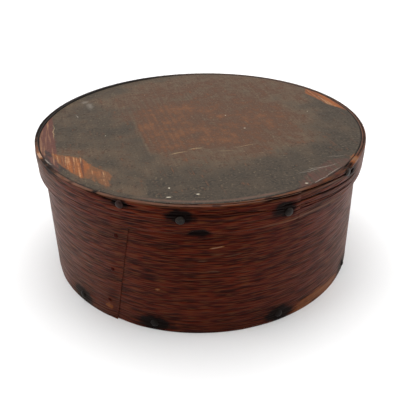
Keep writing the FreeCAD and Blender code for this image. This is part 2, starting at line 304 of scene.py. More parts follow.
def finish_material(tree, base, rough, relief, depth, **surface):
    """Close a material: its colour, its roughness from low to high signs, and its relief in metres."""
    signs, low, high, smoothest, roughest = rough
    rise = {"Value": weighed(tree, signs), 1: low, 2: high, 3: smoothest, 4: roughest}
    roughness = add(tree, "ShaderNodeMapRange", rise)
    bumps = add(tree, "ShaderNodeBump", {"Height": weighed(tree, relief), "Distance": depth})
    surface.update({"Base Color": base, "Roughness": roughness, "Normal": bumps})
    add(tree, "ShaderNodeOutputMaterial", {"Surface": add(tree, "ShaderNodeBsdfPrincipled", surface)})


STAIN = "431005"
STAIN_IN_PORES = "1f0a06"
STAIN_ON_RIDGES = "5c1f0c"
STAIN_FADED = "543a2a"  # greyed by dust and handling
DUSTY_EDGE = "6c4d3f"  # where it is rubbed, and dust has settled in
DUSTY_RIDGES = "5c3119"
WORN_THROUGH = "7d4419"  # golden where the stain has only just gone
WEATHERED_ASH = "76543c"
SCUFFED_ASH = "a8846c"
BLACK_OF_IRON_AND_SHADE = "070404"
WAXY_DUST = "b88c62"  # seen aslant, it greys the sides
STAIN_SHEEN = "641c08"  # of its reflections seen straight on


def red_stained_ash(name):
    """Old red-brown stain on open-grained ash: dark pores, worn ridges, and a dull gloss seen aslant."""
    material, tree = new_material(name)
    grain = add(tree, "ShaderNodeUVMap", uv_map="grain")
    hollow, worn, iron, faded = [
        add(tree, "ShaderNodeAttribute", attribute_name=mark).outputs["Fac"]
        for mark in ("hollow", "worn", "iron", "faded")
    ]
    # The pores of ash are 0.2 to 0.4 mm wide, too fine to show: the lines are drawn two or three
    # times as wide, and as long as real pores run, 8 to 16 mm.
    streak = streaks(tree, grain, 16, 0.95)
    thread = streaks(tree, grain, 8, 0.7)
    fleck = streaks(tree, grain, 9, 0.65, detail=0.0)
    cloud = streaks(tree, grain, 40, 22)
    blot = streaks(tree, grain, 6, 3.5, detail=3.0)
    wear = [(worn, 1.5), (streak, 0.7), (thread, 0.6), (hollow, -0.3), (blot, 0.4)]
    stain = coated(
        tree,
        colour(STAIN),
        (STAIN_ON_RIDGES, [(hollow, -0.9), (streak, 0.9), (cloud, 0.5)], 0.1, 0.7, 0.9),
        (STAIN_IN_PORES, [(hollow, 0.9), (thread, 1.0), (cloud, 0.3)], 0.98, 1.4, 0.85),
        (STAIN_FADED, [(faded, 1.0), (cloud, 0.9), (thread, 0.8)], 1.0, 2.0, 0.85),
        (DUSTY_EDGE, [(faded, 1.0), (streak, 0.4)], 0.9, 1.4, 0.85),
        (STAIN_IN_PORES, [(fleck, 1.0)], 0.56, 0.70, 0.75),
        (DUSTY_RIDGES, [(fleck, -1.0), (thread, 0.5)], -0.26, -0.02, 0.7),
        (WORN_THROUGH, wear, 1.05, 1.35, 0.8),
        (WEATHERED_ASH, wear, 1.3, 1.7, 0.85),
        (SCUFFED_ASH, wear, 1.75, 2.1, 0.8),
        # Black for iron stains, and for the painted shade that the iron mark also carries.
        (BLACK_OF_IRON_AND_SHADE, [(iron, 1.3), (blot, 1.3), (streak, 0.5)], 1.15, 1.95, 1.0),
    )
    dullness = ([(streak, 1.0), (hollow, 0.5), (iron, 0.4)], 0.5, 1.1, 0.42, 0.66)
    relief = [(streak, 0.4), (thread, 0.6), (fleck, -0.4)]
    gloss = {"Specular IOR Level": 0.22, "Specular Tint": colour(STAIN_SHEEN)}
    sheen = {"Sheen Weight": 0.12, "Sheen Tint": colour(WAXY_DUST), "Sheen Roughness": 0.4}
    finish_material(tree, stain, dullness, relief, 0.25 * MM, **gloss, **sheen)
    return material


BARE_ASH = "74573a"
BARE_ASH_RIDGE = "9a7850"
BARE_ASH_PORE = "4f3823"
BLACK_GAP_SHADE = "140d09"
SHADED_ABOVE = 99.0  # mm up: above this the rim's inner face is painted black, as painted shade in the gap where the lid's rim stands proud of its board


def bare_old_ash(name):
    """Ash that was never finished, browned by age and handling: matt, with a fine open grain."""
    material, tree = new_material(name)
    grain = add(tree, "ShaderNodeUVMap", uv_map="grain")
    streak = streaks(tree, grain, 50, 2.5)
    thread = streaks(tree, grain, 12, 0.6)  # pores again, twice as wide as real ones
    cloud = streaks(tree, grain, 60, 30)
    height = add(tree, "ShaderNodeSeparateXYZ", {"Vector": grain}).outputs["Y"]
    wood = coated(
        tree,
        colour(BARE_ASH),
        (BARE_ASH_RIDGE, [(streak, 0.8), (cloud, 0.5)], 0.6, 0.9, 0.9),
        (BARE_ASH_PORE, [(thread, 1.0), (cloud, 0.3)], 0.62, 0.95, 0.8),
        # Painted shade: black high on the rim's inner face, in the gap by its board.
        (BLACK_GAP_SHADE, [(height, 1 / MM)], SHADED_ABOVE, SHADED_ABOVE + 0.5, 1.0),
    )
    dullness = ([(thread, 1.0)], 0.3, 0.7, 0.68, 0.8)
    finish_material(tree, wood, dullness, [(streak, 0.5), (thread, 0.6)], 0.2 * MM)
    return material


box_low, box_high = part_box("body_band")
bottom_low, bottom_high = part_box("bottom_disc")
box_plan = BentStrip(box_high.x, bottom_high.x, BOX_LAP_LENGTH, BOX_LAP_END, BOX_LAP_END_THICKNESS)
box_skin = StripSkin(
    box_plan, box_low.z, box_high.z, columns=300, rows=205, arris=0.6 * MM, lean=BOX_LAP_LEAN
)


def furrows(seed, along, up):
    """The open grain of ash, as depths from 0 to 1."""
    ring = hills(seed, along, up + 2.5 * hills(seed + 1, along, up, 150, 40), 28, 2.0)
    pore = hills(seed + 2, along, up, 12, 0.85)
    return np.clip(0.5 + 0.12 * ring + 0.42 * pore, 0, 1)


def nail_places(kind):
    """Angle and height of the nails of one kind, from where the frame has them."""
    places = []
    for node in sorted(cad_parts):
        if node.startswith(kind):
            low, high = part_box(node)
            middle = (low + high) / 2
            places.append((math.degrees(math.atan2(middle.y, middle.x)) % FULL_TURN, middle.z))
    return places


FURROW_DEPTH = 0.26  # in mm
END_RUBBED = 0.95  # how many mm are rubbed off the outer end at its foot
LESS_AT_TOP = 0.5  # and how much less at its top
END_RUBBED_OVER = 9  # mm from the end
NAIL_STAIN = (12.5, 7.5)  # how many mm iron has bled into the wood, along it and up
TACK_STAIN = (3, 1.6)
SHADE_UNDER_LID_CHIP = (269.3, 82, 11, 5)  # painted shade on the box under the chip in the lid's foot: angle, mm up, and how far it reaches each way
BARE_LOW_RIGHT = (314, 3, 36, 8)  # worn golden
RUB_AT_SEAM = (237.5, 10, 4, 3)  # where the outer end has been knocked
SPECK = (255.6, 35, 1.2, 0.8)
SCRATCHES = [[(272.9, 69.2), (274.3, 69.4), (276.3, 70.1)]]
OLD_SCRATCHES = [  # no longer fresh wood, only paler
    [(273.5, 64.1), (275.6, 64.2)],
    [(284.4, 62.0), (286.4, 61.6)],
    [(269.3, 59.7), (271.2, 59.6)],
    [(271.7, 51.6), (274.8, 51.1)],
    [(277.2, 62.3), (281.4, 63.1)],
]
FADED_FROM_END = 62  # degrees of the outer end that handling has greyed

grain_depth = furrows(11, box_skin.along, box_skin.up)
from_end = box_plan.end + FULL_TURN - box_skin.turn
above_end_foot = box_skin.up * MM / box_high.z
from_slant = (np.radians(from_end) * box_plan.outer - BOX_LAP_LEAN * (1 - above_end_foot)) / MM
rubbed_end = (END_RUBBED - LESS_AT_TOP * above_end_foot) * smooth(1 - from_slant / END_RUBBED_OVER)
box_skin.dent(FURROW_DEPTH * grain_depth + rubbed_end)
edge_distance = np.minimum(box_skin.up, box_high.z / MM - box_skin.up)
patchy = 0.5 + 0.5 * hills(47, box_skin.along, box_skin.up, 9, 5)
box_skin.marks = {
    "hollow": grain_depth,
    "iron": strongest(
        # painted shade on the box under the lid's chipped foot, blackened along with the iron stains
        box_skin.spot(*SHADE_UNDER_LID_CHIP),
        *[box_skin.spot(angle, up / MM, *NAIL_STAIN) for angle, up in nail_places("bottom_nail")],
        *[
            0.25 * box_skin.spot(angle, up / MM, *TACK_STAIN)
            for angle, up in nail_places("body_lap_tack")
        ],
    ),
    "worn": strongest(
        0.22 * smooth(1 - edge_distance / 1.6),
        (0.3 + 0.3 * patchy) * box_skin.spot(*BARE_LOW_RIGHT),
        0.5 * box_skin.spot(*RUB_AT_SEAM),
        0.8 * box_skin.spot(*SPECK),
        *[box_skin.line(scratch, 0.42, fade=2) for scratch in SCRATCHES],
    ),
    "faded": strongest(
        0.38 * smooth((FADED_FROM_END - from_end) / 20),
        *[box_skin.line(scratch, 0.5, fade=2) for scratch in OLD_SCRATCHES],
    ),
}
stained = red_stained_ash("ash, red-brown stain worn thin")
unfinished = bare_old_ash("ash, bare and browned with age")
box_side = box_skin.mesh("box_side", [stained, unfinished])
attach(box_side, "box")
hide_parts("body_band")


# ---------------------------- the lid's rim
# A narrower strip of the same ash, lapped and clinch-nailed at the front. Its grain runs out at
# the top edge, so it has split along the grain to its nails, and a splinter has gone at the right.

LID_LAP_LENGTH = 84 * MM
LID_LAP_END = 299.0
LID_LAP_END_THICKNESS = 1.1 * MM
TOP_SPLIT = [(290, 0.5), (300, 0.8), (306, 1.1), (310.5, 1.6), (314, 2.2), (318, 3.1), (322, 4.4)]
SPLITS = [  # for each: half its width in mm, and its path by angle and mm below the top edge
    (0.44, TOP_SPLIT),
    (0.42, [(295.5, 6.0), (299, 6.6), (306, 6.9), (311, 7.8), (319, 9.1), (324, 9.8)]),
    (0.38, [(238.5, 0.2), (241, 0.9), (245, 2.0), (249, 2.8)]),
    (0.18, [(262, 5.9), (280, 5.2), (297, 9.0), (309, 11.4), (318, 13.2)]),
    (0.26, [(297, 12.2), (305, 12.0), (313, 13.4), (322, 14.4)]),
]
RIM_FURROW_DEPTH = 0.30  # this and the next six in mm
SPLIT_DEPTH = 1.3
SPLINTER_DEPTH = 2.2
RIM_END_RUBBED = 0.5
RIM_FOOT_RUBBED = 0.5
CORNER_RUBBED = 0.5
MORE_AT_TOP = 0.9
RIM_NAIL_STAIN = (7, 2.8)
LAP_STAINS = [(0.2, 2.6, 10, 5.4), (-1.4, 2.8, 8.5, 6.2)]  # degrees aside, mm above, and reach
HOLE_BY_NAIL = 323  # where a splinter has left a hole
HOLE_DEPTH = 5  # and how far below the top edge, in mm
CHIP_IN_FOOT = 269.3
CHIP_IN_TOP = 322.5
BROKEN_EDGE = 327  # fresh wood beside the chip
SPLINTERED_EDGE = 205  # and at the corner that took the worst knock
SPLINTERED_LAP = 315
LIT_AND_HANDLED_SIDE = 357  # the side where the top arris is painted paler: a painted highlight facing the right-hand lamp, and wear from fingers lifting the lid
# the right side of the foot, whose arris is painted pale: a painted highlight and wear
LIT_AND_RUBBED_FOOT = 305
FAR_SIDE = 152  # the far side: dirt that nothing rubs off, and painted shade of the gap between board and rim
BLACKENED_CORNER = (214, 101.3, 19, 2.6)
RUBBED_CORNER = 208  # where the rim has been knocked and rubbed thin

rim_low, rim_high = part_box("lid_band")
board_low, board_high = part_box("lid_disc")
rim_plan = BentStrip(rim_high.x, board_high.x, LID_LAP_LENGTH, LID_LAP_END, LID_LAP_END_THICKNESS)
rim_skin = StripSkin(rim_plan, rim_low.z, rim_high.z, columns=620, rows=84, arris=0.9 * MM)
rim_top = rim_high.z / MM
rim_foot = rim_low.z / MM
rim_grain = furrows(29, rim_skin.along, rim_skin.up)
splits = 0
for half_width, path in SPLITS:
    points = [(angle, rim_top - below) for angle, below in path]
    splits = np.maximum(splits, 2.4 * half_width * rim_skin.line(points, half_width))
hole = smooth(2 * rim_skin.spot(HOLE_BY_NAIL, rim_top - HOLE_DEPTH, 3.6, 1.7) - 0.5)
round_hole = 0.9 * rim_skin.spot(HOLE_BY_NAIL + 1, rim_top - HOLE_DEPTH - 1, 7.5, 4.2)
below_top = rim_top - rim_skin.up
above_foot = rim_skin.up - rim_foot
rubbed_corner = np.exp(-((rim_skin.from_angle(RUBBED_CORNER) / 45) ** 2))
# Towards the right-hand lamp the top arris is painted paler and cleaner: a painted highlight as well as
# wear.
lit_and_handled = smooth((np.cos(np.radians(rim_skin.turn - LIT_AND_HANDLED_SIDE)) - 0.6) / 0.3)
rim_from_end = np.radians(rim_plan.end + FULL_TURN - rim_skin.turn) * rim_plan.outer / MM
rim_skin.dent(RIM_FURROW_DEPTH * rim_grain + SPLIT_DEPTH * splits + SPLINTER_DEPTH * hole)
rim_skin.dent(RIM_END_RUBBED * smooth(1 - rim_from_end / 4))
at_foot = RIM_FOOT_RUBBED * smooth(1 - above_foot / 12)
at_corner = rubbed_corner * (CORNER_RUBBED + MORE_AT_TOP * smooth(1 - below_top / 6))
rim_skin.dent(at_foot + at_corner)
rim_skin.chip(rim_foot, CHIP_IN_FOOT, half_length=6, rise=2.3)
rim_skin.chip(rim_top, CHIP_IN_TOP, half_length=3.6, rise=-1.5)

blackened = [
    0.75 * rim_skin.spot(*BLACKENED_CORNER),
    # painted shade round the chip in the foot
    0.8 * rim_skin.spot(CHIP_IN_FOOT, rim_foot + 1.5, 8, 2.6),
    *[rim_skin.spot(angle, up / MM + 0.5, *RIM_NAIL_STAIN) for angle, up in nail_places("lid_disc_nail")],
]
for (angle, up), (aside, above, *reach) in zip(nail_places("lid_lap_nail"), LAP_STAINS):
    blackened.append(rim_skin.spot(angle + aside, up / MM + above, *reach))
# Where dirt, wear, painted shade and painted highlights lie along the top edge and the foot. Distances
# from an edge are in mm.
on_arris = smooth(1 - np.abs(below_top - 0.4) / 0.9) * smooth(rim_skin.facing / 0.3)
on_top_edge = smooth(1 - below_top / 0.8) * (1 - on_arris)
in_front = smooth((0.1 - np.sin(np.radians(rim_skin.turn))) / 0.6) * (1 - lit_and_handled)
dirty_edge = np.maximum(0.7 * on_arris * (1 - in_front), 0.95 * rim_skin.on_mid_edge) * (1 - in_front)
dirty_edge = dirty_edge * (1 - lit_and_handled * on_arris)
# On the far side the rim's top edge is darkened: dirt, and painted shade of the gap between board and
# rim.
rim_far_gap_shade = smooth(1.5 - below_top / 0.9) * np.exp(-((rim_skin.from_angle(FAR_SIDE) / 100) ** 4))
bare_place = 0.6 * rim_skin.spot(BROKEN_EDGE, rim_top, 6, 1.5)
bare_place = bare_place + rim_skin.spot(SPLINTERED_EDGE, rim_top, 6, 2.2)
# A pale line along the foot's arris on the right: a painted highlight where the arris catches the light,
# and wear.
foot_highlight_and_wear = smooth(1.6 - np.abs(above_foot - 1.2) / 0.8)
foot_highlight_and_wear = foot_highlight_and_wear * np.exp(-((rim_skin.from_angle(LIT_AND_RUBBED_FOOT) / 42) ** 4))
splintered = np.exp(-((rim_skin.from_angle(SPLINTERED_LAP) / 26) ** 4))
split_lip = rim_skin.line([(angle, rim_top - below - 1.3) for angle, below in TOP_SPLIT], 0.9)
# Dark marks: iron, splits, holes and dirt, with painted shade at the far gap and round the chip in the
# foot.
dirt = strongest(*blackened, splits, hole, round_hole, dirty_edge, rim_far_gap_shade)
rim_skin.marks = {
    "hollow": np.clip(rim_grain + 3 * splits, 0, 1),
    "iron": dirt * (1 - bare_place),
    # On the right-hand side the paler arris is a painted highlight as well as wear.
    "worn": strongest(
        on_arris * (0.05 * in_front + 0.2 * lit_and_handled),
        0.08 * on_top_edge,
        0.25 * foot_highlight_and_wear,
        bare_place,
    ),
    "faded": strongest(
        on_top_edge * (0.87 - 0.4 * splintered) + 0.5 * rubbed_corner,
        0.78 * on_arris,
        foot_highlight_and_wear,
        0.8 * split_lip,
    ),
}
lid_rim = rim_skin.mesh("lid_rim", [stained, unfinished])
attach(lid_rim, "lid")
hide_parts("lid_band")


# ---------------------------- the lid's board
# A thin round board of pine that fills the rim, planed, finished dark and set flush with its top.
# Handling has worn the middle to red-brown, where old saw marks show, and knocks have bared
# orange wood along its edge.

BOARD_GRAIN = math.radians(15.2)  # how far the board's grain turns from front to back
BOARD_ARRIS = 0.5 * MM
BOARD_SLACK = 0.5 * MM  # the most that the dry board has shrunk away from its rim
SLACK_SPACING = 16 * MM  # of the places where it has shrunk most
EDGE_ONLY = 12.0  # a share of the radius raised to this is near 0 but at the edge
RING_SIZE = (2.6, 70, 9)  # growth rings in mm: across the grain, along it, and in depth


def new_tree(name, **inputs):
    """A tree of geometry nodes with one output, and its inputs, each of the kind given."""
    tree = bpy.data.node_groups.new(name, "GeometryNodeTree")
    for label, kind in inputs.items():
        tree.interface.new_socket(label, in_out="INPUT", socket_type="NodeSocket" + kind)
    tree.interface.new_socket("Made", in_out="OUTPUT", socket_type="NodeSocketGeometry")
    *given, _ = add(tree, "NodeGroupInput").outputs  # the last is a spare
    return tree, given


def round_board_tree():
    """Geometry nodes for a round board: a disc with ridged faces, shrunk unevenly round its edge."""
    sizes = dict.fromkeys(("Radius", "Thickness", "Foot", "Slack", "Ridge", "Seed"), "Float")
    tree, given = new_tree("round board", **sizes, Face="Material", Underside="Material")
    radius, thickness, foot, most_slack, ridge, seed, face, underside = given
    place = add(tree, "GeometryNodeInputPosition")
    normal = add(tree, "GeometryNodeInputNormal")
    cuts = {"Vertices": 360, "Side Segments": 3, "Fill Segments": 70}
    solid = {"Radius": radius, "Depth": thickness, **cuts}
    disc = add(tree, "GeometryNodeMeshCylinder", solid, fill_type="TRIANGLE_FAN")

    turn = {"Vector": place, "Angle": -BOARD_GRAIN}
    turned = add(tree, "ShaderNodeVectorRotate", turn, rotation_type="Z_AXIS")
    per_ring = [1 / (length * MM) for length in RING_SIZE]
    rings = add(tree, "ShaderNodeVectorMath", {0: turned, 1: per_ring}, operation="MULTIPLY")
    grown = {"Vector": rings, "W": seed, "Scale": 1.0}
    ridges = add(tree, "ShaderNodeTexNoise", grown, noise_dimensions="4D")
    lower = add(tree, "ShaderNodeMath", {0: ridges, 1: ridge}, operation="MULTIPLY")
    sunk = add(tree, "ShaderNodeVectorMath", {0: normal, "Scale": lower}, operation="SCALE")

    level = add(tree, "ShaderNodeVectorMath", {0: place, 1: (1, 1, 0)}, operation="MULTIPLY")
    outward = add(tree, "ShaderNodeVectorMath", {0: level}, operation="NORMALIZE")
    away = add(tree, "ShaderNodeVectorMath", {0: level}, operation="LENGTH").outputs["Value"]
    share = add(tree, "ShaderNodeMath", {0: away, 1: radius}, operation="DIVIDE")
    at_edge = add(tree, "ShaderNodeMath", {0: share, 1: EDGE_ONLY}, operation="POWER")
    uneven = add(tree, "ShaderNodeTexNoise", {"Vector": place, "Scale": 1 / SLACK_SPACING, "Detail": 3.0})
    slack = add(tree, "ShaderNodeMath", {0: uneven, 1: most_slack}, operation="MULTIPLY")
    inward = add(tree, "ShaderNodeMath", {0: at_edge, 1: slack}, operation="MULTIPLY")
    pulled = add(tree, "ShaderNodeVectorMath", {0: outward, "Scale": inward}, operation="SCALE")

    moved = add(tree, "ShaderNodeVectorMath", {0: sunk, 1: pulled}, operation="ADD")
    back = add(tree, "ShaderNodeVectorMath", {0: moved, "Scale": -1.0}, operation="SCALE")
    worn = add(tree, "GeometryNodeSetPosition", {"Geometry": disc, "Offset": back})
    middle = add(tree, "ShaderNodeMath", {0: thickness, 1: 0.5, 2: foot}, operation="MULTIPLY_ADD")
    lift = add(tree, "ShaderNodeCombineXYZ", {"Z": middle})
    placed = add(tree, "GeometryNodeTransform", {"Geometry": worn, "Translation": lift})
    real = add(tree, "GeometryNodeRealizeInstances", {"Geometry": placed})
    upward = add(tree, "ShaderNodeSeparateXYZ", {"Vector": normal}).outputs["Z"]
    downward = add(tree, "FunctionNodeCompare", {"A": upward, "B": -0.5}, operation="LESS_THAN")
    faced = add(tree, "GeometryNodeSetMaterial", {"Geometry": real, "Material": face})
    below = {"Geometry": faced, "Selection": downward, "Material": underside}
    backed = add(tree, "GeometryNodeSetMaterial", below)
    add(tree, "NodeGroupOutput", {"Made": backed})
    return tree


def plain_mesh(maker):
    """What an object's modifiers make, as a plain mesh. The object goes."""
    mesh = bpy.data.meshes.new_from_object(maker.evaluated_get(bpy.context.evaluated_depsgraph_get()))
    maker.modifiers.clear()
    bpy.data.objects.remove(maker)
    return mesh


def made_by(tree, name, base=None, **inputs):
    """What a tree of geometry nodes makes of its inputs."""
    maker = in_scene(name, base or bpy.data.meshes.new(name))
    modifier = maker.modifiers.new(name, "NODES")
    modifier.node_group = tree
    sockets = {item.name: item.identifier for item in tree.interface.items_tree if item.in_out == "INPUT"}
    for label, value in inputs.items():
        modifier[sockets[label]] = value
    return plain_mesh(maker)


def soft_arris(mesh, width):
    """The mesh again, with the sharp edges of its rim worn round."""
    maker = in_scene("worn", mesh)
    bevel = maker.modifiers.new("arris", "BEVEL")
    bevel.width = width
    bevel.segments = 3
    bevel.angle_limit = math.radians(60)
    return plain_mesh(maker)


def scratched(tree, place, marks):
    """How far each point is from the nearest of some scratches, which reach to 1. Places in mm."""
    nearest = 9.0
    for start, end, width in marks:
        run = Vector(end) - Vector(start)
        middle = (Vector(end) + Vector(start)) / 2 * MM
        size = (run.length / 2 * MM, width / 2 * MM, 1)
        lie = {"Location": (*middle, 0), "Rotation": (0, 0, math.atan2(run.y, run.x)), "Scale": size}
        along = add(tree, "ShaderNodeMapping", {"Vector": place, **lie}, vector_type="TEXTURE")
        away = add(tree, "ShaderNodeVectorMath", {0: along}, operation="LENGTH").outputs["Value"]
        nearest = add(tree, "ShaderNodeMath", {0: nearest, 1: away}, operation="MINIMUM")
    return nearest


BOARD_FINISH = "372d21"
FINISH_IN_GRIME = "221c15"
FINISH_THIN = "5a4835"
HANDLED_BROWN = "482b18"
HANDLED_BARE = "6e4425"
FRESH_PINE = "864a1f"
FRESH_PINE_RING = "472a20"
RAISED_FIBRE = "b0865e"
EDGE_DIRT_AND_GAP_SHADE = "2c201c"
SMEARED_STAIN = "552e25"  # of the rim's red, wiped over the board's edge
PALE_SCRATCH = "96805f"
GREY_SCRATCH = "8d8479"
PAINT_SPECK = "c4baa4"

# Cracks, scratches, smudges and paint: from, to and how wide, in mm from the board's middle.
BOARD_CRACKS = [
    ((-20, -53), (-4, -45), 1.2),
    ((-6, -44), (6, -41.5), 1.5),
    ((25, -42.5), (44, -37), 0.8),
    ((14, -46), (28, -48), 0.5),
    ((-112, 8), (-104, -24), 1.0),
]
BOARD_SCRATCHES = [
    ((64, -81), (97, -67), 0.9),
    ((60, -85), (84, -74), 0.6),
    ((68, -99), (84, -85), 1.1),
    ((79, -89), (95, -73), 0.9),
    ((84, -60), (104, -57), 0.6),
    ((-97, 26), (-93, 18), 0.8),
    ((-106, -50), (-95, -65), 1.5),
]
BOARD_SMUDGES = [((-98, 55), (-92, 54), 6.0), ((-91, 53), (-87, 38), 6.0)]
PAINT_SPECKS = [
    ((-20.0, -101.0), (-18.6, -101.0), 1.1),
    ((-21.0, -112.0), (-17.5, -112.0), 1.1),
    ((-3.0, -109.0), (-0.5, -109.0), 1.1),
    ((20.0, 15.0), (21.2, 15.0), 1.2),
    ((33.0, -11.0), (34.6, -11.0), 1.3),
    ((64.0, -98.0), (66.5, -98.0), 1.0),
    ((86.0, 20.0), (87.0, 20.6), 0.9),
    ((-70.0, -20.0), (-69.0, -20.0), 0.8),
    ((-48.0, 66.0), (-47.2, 66.0), 0.8),
]


def finished_pine(name):
    """Pine under an old dark finish, dull and greasy, with bare orange wood where it is knocked."""
    material, tree = new_material(name)
    place = add(tree, "ShaderNodeTexCoord").outputs["Object"]
    turned = add(tree, "ShaderNodeMapping", {"Vector": place, "Rotation": (0, 0, -BOARD_GRAIN)})
    ring = streaks(tree, turned, 3.0, 80, 30)
    # The fibres of pine are far finer than 1 mm: they are drawn as wide as they have to be to show.
    hair = streaks(tree, turned, 1.1, 26, 30)
    mottle = streaks(tree, place, 20, 20, 20, detail=4.0)
    blot = streaks(tree, place, 5, 5, 5, detail=3.0)
    grime = streaks(tree, place, 1.7, 1.7, 1.7, detail=3.0)
    handled, bared, edge, saw, smeared, dusty = [
        add(tree, "ShaderNodeAttribute", attribute_name=mark).outputs["Fac"]
        for mark in ("handled", "bared", "edge", "saw", "smeared", "dusty")
    ]
    # Scratches wander by up to 5 mm over 12 mm.
    drift = add(tree, "ShaderNodeTexNoise", {"Vector": place, "Scale": 1 / (12 * MM), "Detail": 3.0})
    wander = {0: drift.outputs["Color"], 1: (5 * MM, 5 * MM, 0), 2: place}
    ragged = add(tree, "ShaderNodeVectorMath", wander, operation="MULTIPLY_ADD")
    crack = scratched(tree, ragged, BOARD_CRACKS)
    scratch = scratched(tree, ragged, BOARD_SCRATCHES)
    smudge = scratched(tree, ragged, BOARD_SMUDGES)
    speck = scratched(tree, place, PAINT_SPECKS)
    rubbed = [(handled, 1.0), (mottle, 1.4), (blot, 0.8), (ring, 0.4), (saw, 0.35), (hair, 0.5)]
    fresh = [(bared, 1.0), (blot, 1.0), (hair, 0.7), (ring, 0.5)]
    pine = coated(
        tree,
        colour(FRESH_PINE),
        (FRESH_PINE_RING, [(ring, 1.0), (hair, 0.5)], 0.66, 0.95, 0.9),
        (RAISED_FIBRE, [(hair, 1.0), (grime, 0.4)], 0.72, 0.95, 0.75),
    )
    finish = coated(
        tree,
        colour(BOARD_FINISH),
        (FINISH_THIN, [(mottle, 1.2), (grime, 1.5), (handled, 0.8)], 1.3, 1.9, 0.9),
        (FINISH_IN_GRIME, [(blot, 0.9), (grime, 1.5), (handled, -0.2)], 1.15, 1.5, 0.85),
        (HANDLED_BROWN, rubbed, 1.75, 2.6, 0.9),
        (HANDLED_BARE, [*rubbed, (grime, 1.2)], 3.0, 3.7, 0.7),
        (FINISH_IN_GRIME, [(hair, 0.8), (grime, 1.2)], 1.06, 1.4, 0.45),
        (PALE_SCRATCH, [(hair, -0.4), (grime, -1.2)], -0.72, -0.45, 0.3),
        (SMEARED_STAIN, [(smeared, 1.0), (hair, 0.9), (blot, 0.5)], 1.0, 1.7, 0.95),
        (RAISED_FIBRE, [(smeared, 1.0), (ring, 0.9), (hair, 1.2)], 2.05, 2.4, 0.45),
        (HANDLED_BARE, fresh, 1.25, 1.6, 0.8),
        (pine, fresh, 1.6, 1.95, 0.95),
        (DUSTY_EDGE, [(dusty, 1.0), (blot, 0.5), (grime, 0.6)], 1.0, 1.7, 0.9),
        # dark dirt at the board's edge, with painted shade of the gap by the rim at the far side
        (EDGE_DIRT_AND_GAP_SHADE, [(edge, 1.0), (blot, 0.8), (hair, 0.5)], 1.1, 1.5, 0.85),
        (PALE_SCRATCH, [(crack, -1.0), (grime, 1.0)], -0.6, 0.1, 0.65),
        (GREY_SCRATCH, [(scratch, -1.0), (grime, 1.6)], -0.2, 0.5, 0.7),
        (GREY_SCRATCH, [(smudge, -1.0), (grime, 2.0)], -0.3, 0.9, 0.4),
        (PAINT_SPECK, [(speck, -1.0)], -1.1, -0.6, 0.9),
    )
    dullness = ([(grime, 1.0), (bared, 0.4), (blot, 0.4)], 0.4, 1.1, 0.44, 0.66)
    relief = [(ring, 0.4), (hair, 0.5), (grime, 0.7), (saw, 0.4), (blot, 0.5)]
    finish_material(tree, finish, dullness, relief, 0.3 * MM, **{"Specular IOR Level": 0.25})
    return material


DRY_PINE = "8f6b45"
DRY_PINE_RING = "64442a"
DRY_PINE_FIBRE = "a98660"
DRY_PINE_DIRT = "453222"


def bare_pine(name):
    """Pine that was never finished: dry, browned with age, its growth rings standing proud."""
    material, tree = new_material(name)
    place = add(tree, "ShaderNodeTexCoord").outputs["Object"]
    turned = add(tree, "ShaderNodeMapping", {"Vector": place, "Rotation": (0, 0, -BOARD_GRAIN)})
    ring = streaks(tree, turned, 4.5, 140, 30, detail=3.0)
    hair = streaks(tree, turned, 0.9, 30, 30)
    dirt = streaks(tree, place, 30, 30, 30, detail=5.0)
    wood = coated(
        tree,
        colour(DRY_PINE),
        (DRY_PINE_RING, [(ring, 1.0), (hair, 0.3)], 0.6, 0.8, 0.9),
        (DRY_PINE_FIBRE, [(hair, 1.0)], 0.55, 0.75, 0.5),
        (DRY_PINE_DIRT, [(dirt, 1.0)], 0.48, 0.75, 0.7),
    )
    dullness = ([(dirt, 1.0)], 0.3, 0.7, 0.7, 0.85)
    finish_material(tree, wood, dullness, [(ring, 1.0), (hair, 0.5)], 0.3 * MM)
    return material


def oval(across, along, middle, half):
    """1 within an oval place, falling to 0 round it. In mm across and along a board's grain."""
    return smooth(1.7 - 1.2 * np.hypot((across - middle[0]) / half[0], (along - middle[1]) / half[1]))


def crescent(radius, angle, span, band):
    """1 within a bite of a board's edge, deepest in its middle. Angles in degrees and radii in mm."""
    start, end = span
    inner, outer = band
    past_start = (angle - start) % FULL_TURN
    reach = smooth(past_start / 16) * smooth((end - start - past_start) / 8) * (past_start < end - start)
    return smooth((radius - outer + (outer - inner) * reach) / 3) * smooth((outer - radius) / 2)


def round_board(name, low, high, ridge, seed, face, underside):
    """A round board that fills the place between two corners, with its arrises worn round."""
    sizes = {"Radius": high.x, "Thickness": high.z - low.z, "Foot": low.z, "Slack": BOARD_SLACK}
    faces = {"Face": face, "Underside": underside}
    return soft_arris(made_by(board_tree, name, **sizes, Ridge=ridge, Seed=seed, **faces), BOARD_ARRIS)


BOARD_DIP = 0.9  # how far below the rim the dry board has cupped, in mm
SAW_PITCH = 4.6  # between the marks of the saw, in mm
SAWN = ((-33, 16), (24, 66))  # where they show: its middle and reach, across the grain and along
HANDLED_MOST = ((11, 0), (73, 65))
HANDLED_FAR = ((26, 58), (92, 58))
HANDLED_LEFT = ((-60, 10), (70, 90))
HANDLED_BITE = ((194, 256), (93, 117))  # angles from and to, and radii from and to
WORST_KNOCK = ((201, 231), (97.5, 115))
BESIDE_KNOCK = ((206, 242), (97, 114))
FAR_KNOCK = ((5, 41), (109.5, 122))
SMALL_KNOCK = ((318, 336), (116, 122))
SMEARED_BITE = ((294, 330), (106, 122))
WORN_FROM = -50  # across the grain from the middle, in mm: handling wore it from here
EDGE_CRACK = -107  # and here it has cracked along the grain
GRIMY_BETWEEN = (194, 232)  # angles between which dirt lies outside the worst knock
GRIMY_FROM = 112.5  # and its radius
DUSTY_BETWEEN = (244, 306)  # angles between which dust lies along the edge
DUSTY_RADIUS = 117.8

